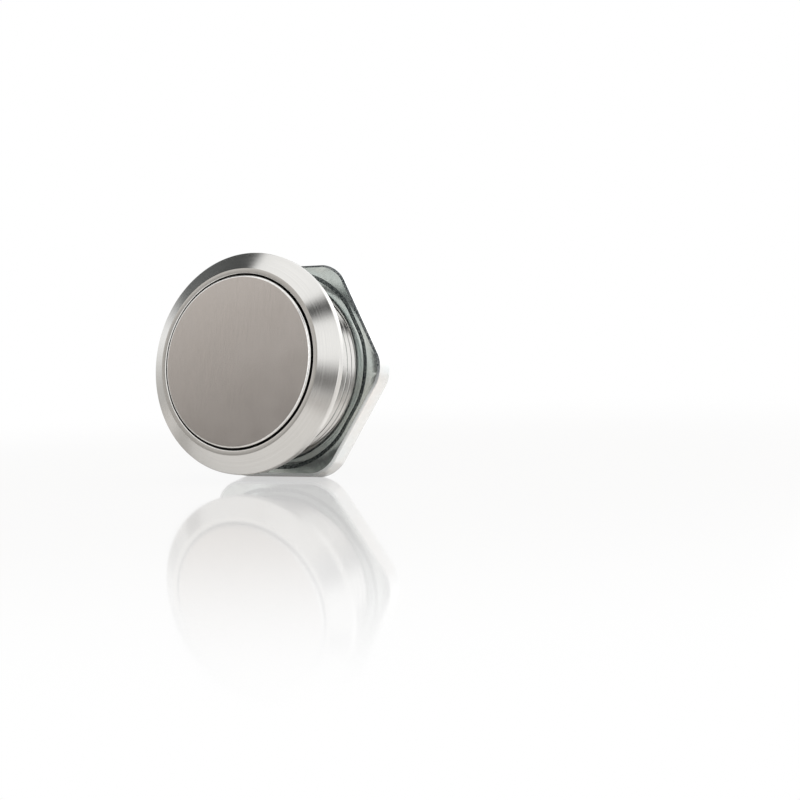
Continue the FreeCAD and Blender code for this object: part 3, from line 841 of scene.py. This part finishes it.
class SWITCH_OT_lock_nut(bpy.types.Operator):
    """Plated lock nut with rounded corners and edges and a countersunk bore"""

    bl_idname = "switch.add_lock_nut"
    bl_label = "Lock nut"

    def execute(self, context):
        s = context.scene.switch_sizes
        front, rear = NUT_LOW.y, NUT_HIGH.y
        point = NUT_HIGH.z / cos(pi / 6)
        clear_selection()
        bpy.ops.mesh.primitive_cylinder_add(
            vertices=6,
            radius=point,
            depth=rear - front,
            location=(0, (front + rear) / 2, 0),
            rotation=(pi / 2, pi / 6, 0),
        )
        piece = name_piece("lock_nut")
        bpy.ops.object.mode_set(mode="EDIT")

        def runs_along(edge):
            return abs(edge.verts[0].co.y - edge.verts[1].co.y) > NEAR

        select_where(piece, "EDGE", runs_along)
        bpy.ops.mesh.bevel(offset=s.nut_corner * tan(pi / 6), segments=s.corner_parts)
        select_where(piece, "EDGE", lambda edge: not runs_along(edge))
        bpy.ops.mesh.bevel(offset=s.nut_edge, segments=6)
        # The front and back faces are the only ones with more than four corners
        select_where(piece, "FACE", lambda face: len(face.verts) > 4)
        bpy.ops.mesh.delete(type="ONLY_FACE")
        bpy.ops.object.mode_set(mode="OBJECT")

        mouth = s.nut_bore + s.countersink
        rounding = [
            (radius, front + mouth - place)
            for radius, place in arc(mouth, s.nut_bore, s.countersink, 90, 180)
        ]
        corners = [
            *rounding,
            (s.nut_bore, rear - s.back_sink),
            (s.nut_bore + s.back_sink, rear),
        ]
        inside = turned("nut_inside", corners, ends="open")
        join_pieces(piece, inside)
        bridge_open_rings(piece, front - NEAR, front + NEAR)
        bridge_open_rings(piece, rear - NEAR, rear + NEAR)
        face_outwards()
        cutter = groove_cutter(s, front)
        apply_modifier(piece, "BOOLEAN", object=cutter, operation="DIFFERENCE", solver="EXACT")
        bpy.data.objects.remove(cutter)
        finish_piece(piece, "nut", "hex_nut", "Zinc plating")

        # Painted light: the flats and the countersink next to the bore take the brighter plating.
        # Painted shade: a line round the bore, the groove and the upper front edges take dark
        # plating
        def pick(centre, facing):
            behind = centre.y - front
            outwards = hypot(centre.x, centre.z)
            if outwards < mouth:
                if behind < s.countersink and outwards < s.bore_mark:
                    return "Bright plating"
                if behind < s.countersink and outwards < s.bore_mark + s.bore_mark_width:
                    return "Worn plating"
                return "Zinc plating"
            across = centre.x - s.groove_shift
            if (
                NEAR < behind < 1.1 * s.groove_depth
                and hypot(across, centre.z) < 1.04 * s.groove
                and flat_distance(across, centre.z) < s.groove
            ):
                return "Worn plating"
            if facing < 0.25:
                return "Bright plating"
            on_front_edge = behind < s.nut_edge and facing < 0.995
            return "Worn edge" if on_front_edge else "Zinc plating"

        paint_faces(piece, ("Worn plating", "Bright plating", "Worn edge"), pick)
        return {"FINISHED"}


class SWITCH_OT_seals(bpy.types.Operator):
    """Gasket under the bezel and sealing ring on the button's skirt"""

    bl_idname = "switch.add_seals"
    bl_label = "Seals"

    def execute(self, context):
        s = context.scene.switch_sizes
        rings = (
            ("gasket", "panel_seal", "housing", s.gasket_width, s.gasket_edge),
            ("skirt_seal", "cap_seal", "button", s.skirt_seal_width, s.skirt_seal_edge),
        )
        for name, node, body, width, round_edge in rings:
            low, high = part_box(node)
            inner = high.x - width
            front = arc(high.x - round_edge, low.y + round_edge, round_edge, -90, 0, 5)
            back = arc(high.x - round_edge, high.y - round_edge, round_edge, 0, 90, 5)
            corners = [(inner, low.y), *front, *back, (inner, high.y)]
            piece = turned(name, corners, ends="join")
            finish_piece(piece, body, node, "Sealing rubber")
        return {"FINISHED"}


class SWITCH_OT_springs(bpy.types.Operator):
    """Return spring under the button and small spring behind the bridge"""

    bl_idname = "switch.add_springs"
    bl_label = "Springs"

    def execute(self, context):
        s = context.scene.switch_sizes
        coils = (
            ("button_spring", "return_spring", "button_press", s.spring, s.spring_wire,
             s.spring_turns, CAP_LOW.y + s.cap_thickness, s.wall_front),
            ("bridge_spring", "contact_spring", "bridge_slide", s.bridge_spring, s.bridge_wire,
             s.bridge_turns, BRIDGE_REAR, BASE_FRONT + s.spring_pocket),
        )
        gap = 0.00003
        for name, node, joint, radius, wire, turns, front, rear in coils:
            height = rear - front - 2 * wire - 2 * gap
            steps = int(s.steps / 4 * turns)
            clear_selection()
            bpy.ops.mesh.primitive_circle_add(
                vertices=14, radius=wire, location=(radius, front + wire + gap, 0)
            )
            piece = name_piece(name)
            apply_modifier(
                piece,
                "SCREW",
                axis="Y",
                angle=2 * pi * turns,
                screw_offset=height,
                steps=steps,
                render_steps=steps,
            )
            edit_all("EDGE")
            bpy.ops.mesh.fill_holes(sides=0)
            face_outwards()
            finish_piece(piece, "housing", node, "Spring steel")
            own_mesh(piece)
        return {"FINISHED"}


# Finish and slot of the nodes that keep their own solid
KEPT_NODES = {
    ("Spring steel", "spring_steel"): ("stem_clip", "retaining_ring"),
    ("Moulded insulator", "moulded_insulator"): ("plunger_tip", "contact_housing", "contact_base"),
    ("Terminal brass", "contact_brass"): (
        "contact_bridge",
        "terminal_nc_left", "terminal_nc_right", "terminal_no_left", "terminal_no_right",
    ),
    ("Contact silver", "contact_silver"): (
        "moving_contact_left", "moving_contact_right",
        "fixed_contact_nc_left", "fixed_contact_nc_right",
        "fixed_contact_no_left", "fixed_contact_no_right",
    ),
}


class SWITCH_OT_kept_nodes(bpy.types.Operator):
    """Finishes of the inner pieces that keep their own solids"""

    bl_idname = "switch.finish_kept_nodes"
    bl_label = "Inner pieces"

    def execute(self, context):
        for (material, slot), nodes in KEPT_NODES.items():
            for node in nodes:
                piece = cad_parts[node]
                piece.data.materials.clear()
                piece.data.materials.append(finish(material))
        return {"FINISHED"}


# Studio

WHITE = (1.0, 1.0, 1.0, 1.0)


def cleared_tree(owner):
    """Empty node tree of a new material or world."""
    owner.use_nodes = True
    owner.node_tree.nodes.clear()
    return owner.node_tree


def connect_output(tree, kind, shader):
    """Link a shader to a new output node."""
    tree.links.new(shader, tree.nodes.new(kind).inputs["Surface"])


def floor_material(studio):
    """Pale floor with a faint mirror image, which fades out and is clear from below."""
    material = bpy.data.materials.new("Studio floor")
    tree = cleared_tree(material)
    pale = put(tree, "ShaderNodeBsdfDiffuse", Color=(*studio.floor_colour, 1.0))
    white = put(tree, "ShaderNodeEmission", Color=WHITE, Strength=1.0)
    mirror = put(tree, "ShaderNodeBsdfGlossy", Color=WHITE, Roughness=0.06)
    clear = tree.nodes.new("ShaderNodeBsdfTransparent")
    rays = tree.nodes.new("ShaderNodeLightPath").outputs
    reflected = calculate(tree, "MAXIMUM", rays["Is Glossy Ray"], rays["Is Transmission Ray"])
    whiteness = calculate(
        tree,
        "MAXIMUM",
        times(tree, rays["Is Camera Ray"], studio.floor_seen),
        times(tree, reflected, studio.floor_reflected),
    )
    ground = mix_shaders(tree, whiteness, pale.outputs[0], white.outputs[0])
    surface = mix_shaders(tree, studio.floor_gloss, ground, mirror.outputs[0])
    reach = put(tree, "ShaderNodeVectorMath", Vector=object_place(tree))
    reach.operation = "LENGTH"
    fade = spread(
        tree, reach.outputs["Value"], studio.floor_fade, studio.floor_end, "SMOOTHERSTEP"
    )
    below = tree.nodes.new("ShaderNodeNewGeometry").outputs["Backfacing"]
    hidden = calculate(tree, "MAXIMUM", fade, below)
    shown = mix_shaders(tree, hidden, surface, clear.outputs[0])
    connect_output(tree, "ShaderNodeOutputMaterial", shown)
    return material


def card_material(name, tint, levels, turning, fades):
    """Card that glows from one level to another along its X, with soft edges."""
    material = bpy.data.materials.new(name)
    tree = cleared_tree(material)
    along, across, _ = object_xyz(tree)
    start, end, side = (max(fade, 0.01) for fade in fades)
    opacity = 1.0
    for place, near, far in ((along, start, end), (across, side, side)):
        for edge, inner in ((-0.5, near - 0.5), (0.5, 0.5 - far)):
            opacity = times(tree, opacity, spread(tree, place, edge, inner, "SMOOTHSTEP"))
    level = vary(tree, spread(tree, along, turning - 0.5, 0.5), *levels)
    glow = put(tree, "ShaderNodeEmission", Color=(*tint, 1.0), Strength=level)
    clear = tree.nodes.new("ShaderNodeBsdfTransparent")
    shown = mix_shaders(tree, opacity, clear.outputs[0], glow.outputs[0])
    connect_output(tree, "ShaderNodeOutputMaterial", shown)
    return material


# Cards that stand round the switch and show only in its metal: name, first and last direction
# that the card covers, its angle across in degrees, its levels at both ends, the share of its
# length at which its level starts to change, its tint, and how much of it fades at its start,
# end and sides
CARDS = (
    ("card_upper_left", (-0.42, -0.205, 0.885), (-0.917, 0.342, 0.22), 50, (0.055, 0.2), 0.2,
     (0.96, 1.0, 1.0), (0.12, 0.25, 0.2)),
    ("card_upper_right", (0.50, -0.69, 0.51), (0.27, -0.57, 0.78), 40, (0.0, 0.0), 0,
     (1.0, 1.0, 1.0), (0.42, 0.42, 0.3)),
    ("card_beside_camera", (0.50, -0.76, -0.42), (0.635, -0.765, 0.16), 30, (0.17, 0.17), 0,
     (1.0, 0.97, 0.94), (0.5, 0.4, 0.3)),
    ("card_left", (-0.905, 0.345, 0.25), (-0.93, 0.05, -0.36), 30, (0.6, 0.4), 0,
     (1.0, 0.98, 0.95), (0.4, 0.15, 0.3)),
    ("card_edge_left", (-0.92, -0.16, 0.36), (-0.93, -0.26, -0.24), 20, (0.1, 0.1), 0,
     (1.0, 1.0, 1.0), (0.3, 0.3, 0.3)),
    ("card_front_left", (-0.466, -0.846, -0.30), (-0.709, -0.674, 0.26), 70, (0.22, 0.98), 0.5,
     (1.0, 0.96, 0.915), (0.1, 0.02, 0.15)),
    ("card_front", (-0.15, -0.98, -0.15), (-0.12, -0.93, 0.35), 50, (1.3, 1.3), 0,
     (1.0, 1.0, 1.0), (0.3, 0.3, 0.3)),
    ("card_rear", (0.55, 0.83, 0.0), (0.1, 0.7, 0.7), 60, (0.85, 1.9), 0.1,
     (1.0, 1.0, 1.0), (0.2, 0.2, 0.2)),
)
CARD_DISTANCE = 0.3


def add_card(name, first, last, across, levels, turning, tint, fades):
    """Card that faces the switch and covers the directions between a first and a last one."""
    first, last = Vector(first).normalized(), Vector(last).normalized()
    towards = (first + last).normalized()
    along = (last - first).normalized()
    turned_to = Matrix((along, towards.cross(along), towards)).transposed()
    clear_selection()
    bpy.ops.mesh.primitive_plane_add(
        size=1, location=towards * CARD_DISTANCE, rotation=turned_to.to_euler()
    )
    card = bpy.context.object
    reach = 2 * CARD_DISTANCE
    card.scale = (
        reach * tan(first.angle(last) / 2), reach * tan(radians(across) / 2), 1
    )
    card.name = name
    card.data.materials.append(card_material(name, tint, levels, turning, fades))
    card.visible_camera = False
    card.visible_diffuse = False
    card.visible_shadow = False


def add_softbox(name, direction, distance, size, power):
    towards = Vector(direction).normalized()
    bpy.ops.object.light_add(
        type="AREA",
        location=towards * distance,
        rotation=towards.to_track_quat("Z", "Y").to_euler(),
    )
    lamp = bpy.context.object
    lamp.name = name
    lamp.data.size = size
    lamp.data.energy = power
    lamp.visible_glossy = False


def set_world():
    """Even white surroundings, a little softer for what only lights the switch."""
    world = bpy.data.worlds.new("Light tent")
    bpy.context.scene.world = world
    tree = cleared_tree(world)
    rays = tree.nodes.new("ShaderNodeLightPath").outputs
    seen = calculate(
        tree,
        "MAXIMUM",
        calculate(tree, "MAXIMUM", rays["Is Camera Ray"], rays["Is Glossy Ray"]),
        rays["Is Transmission Ray"],
    )
    strength = vary(tree, seen, 0.8, 1.0)
    tent = put(tree, "ShaderNodeBackground", Color=WHITE, Strength=strength)
    connect_output(tree, "ShaderNodeOutputWorld", tent.outputs[0])


def set_camera(studio, ring_plane):
    """Camera at the photograph's angle, turned so that the ring lands at its pixel."""
    azimuth, elevation, roll = studio.azimuth, studio.elevation, studio.roll
    level = cos(elevation)
    back = Vector((sin(azimuth) * level, -cos(azimuth) * level, sin(elevation)))
    right = Vector((cos(azimuth), sin(azimuth), 0))
    up = back.cross(right)
    turned_right = right * cos(roll) - up * sin(roll)
    turned_up = right * sin(roll) + up * cos(roll)
    view = Matrix((turned_right, turned_up, back)).transposed()
    sensor = 36
    focal_pixels = studio.lens / sensor * studio.picture
    aim = Vector(
        (
            (studio.centre_u - studio.picture / 2) / focal_pixels,
            (studio.picture / 2 - studio.centre_v) / focal_pixels,
            -1,
        )
    ).normalized()
    swing = Vector((0, 0, -1)).rotation_difference(aim).to_matrix()
    centre = Vector((0, ring_plane, 0))
    bpy.ops.object.camera_add(location=centre + back * studio.distance)
    camera = bpy.context.object
    camera.name = "Photo camera"
    camera.rotation_euler = (view @ swing.inverted()).to_euler()
    camera.data.lens = studio.lens
    camera.data.sensor_width = sensor
    camera.data.clip_start = 0.01
    camera.data.clip_end = 10
    bpy.context.scene.camera = camera


class SWITCH_OT_studio(bpy.types.Operator):
    """Pale floor, white surroundings, lamps, cards that show in the metal and the camera"""

    bl_idname = "switch.add_studio"
    bl_label = "Studio"

    def execute(self, context):
        studio = context.scene.switch_studio
        clear_selection()
        bpy.ops.mesh.primitive_plane_add(
            size=studio.floor_side,
            location=(0, NUT_HIGH.y - studio.rest_line, NUT_LOW.z),
            rotation=(studio.floor_tilt, 0, 0),
        )
        floor = bpy.context.object
        floor.name = "studio_floor"
        floor.data.materials.append(floor_material(studio))
        for card in CARDS:
            add_card(*card)
        add_softbox("softbox_right", (0.9, 0.2, 0.5), 0.5, 0.35, 0.6)
        add_softbox("softbox_top", (0.1, -0.2, 1.0), 0.5, 0.4, 0.5)
        set_world()
        set_camera(studio, context.scene.switch_sizes.ring_plane)
        context.scene.view_settings.view_transform = "Standard"
        return {"FINISHED"}


class SWITCH_PT_sidebar(bpy.types.Panel):
    bl_idname = "SWITCH_PT_sidebar"
    bl_label = "Pushbutton switch"
    bl_space_type = "VIEW_3D"
    bl_region_type = "UI"
    bl_category = "Pushbutton"

    def draw(self, context):
        for operator in OPERATORS:
            self.layout.operator(operator.bl_idname)


OPERATORS = (
    SWITCH_OT_bezel,
    SWITCH_OT_button,
    SWITCH_OT_lock_nut,
    SWITCH_OT_seals,
    SWITCH_OT_springs,
    SWITCH_OT_kept_nodes,
    SWITCH_OT_studio,
)
SETTINGS = {
    "switch_sizes": SwitchSizes,
    "switch_finishes": SwitchFinishes,
    "switch_studio": SwitchStudio,
}


def register():
    for name, group in SETTINGS.items():
        bpy.utils.register_class(group)
        setattr(bpy.types.Scene, name, bpy.props.PointerProperty(type=group))
    for operator in OPERATORS:
        bpy.utils.register_class(operator)
    bpy.utils.register_class(SWITCH_PT_sidebar)


def unregister():
    bpy.utils.unregister_class(SWITCH_PT_sidebar)
    for operator in reversed(OPERATORS):
        bpy.utils.unregister_class(operator)
    for name, group in reversed(SETTINGS.items()):
        delattr(bpy.types.Scene, name)
        bpy.utils.unregister_class(group)


def main():
    register()
    bpy.ops.switch.add_bezel()
    bpy.ops.switch.add_button()
    bpy.ops.switch.add_lock_nut()
    bpy.ops.switch.add_seals()
    bpy.ops.switch.add_springs()
    bpy.ops.switch.finish_kept_nodes()
    bpy.ops.switch.add_studio()


if __name__ == "__main__":
    main()
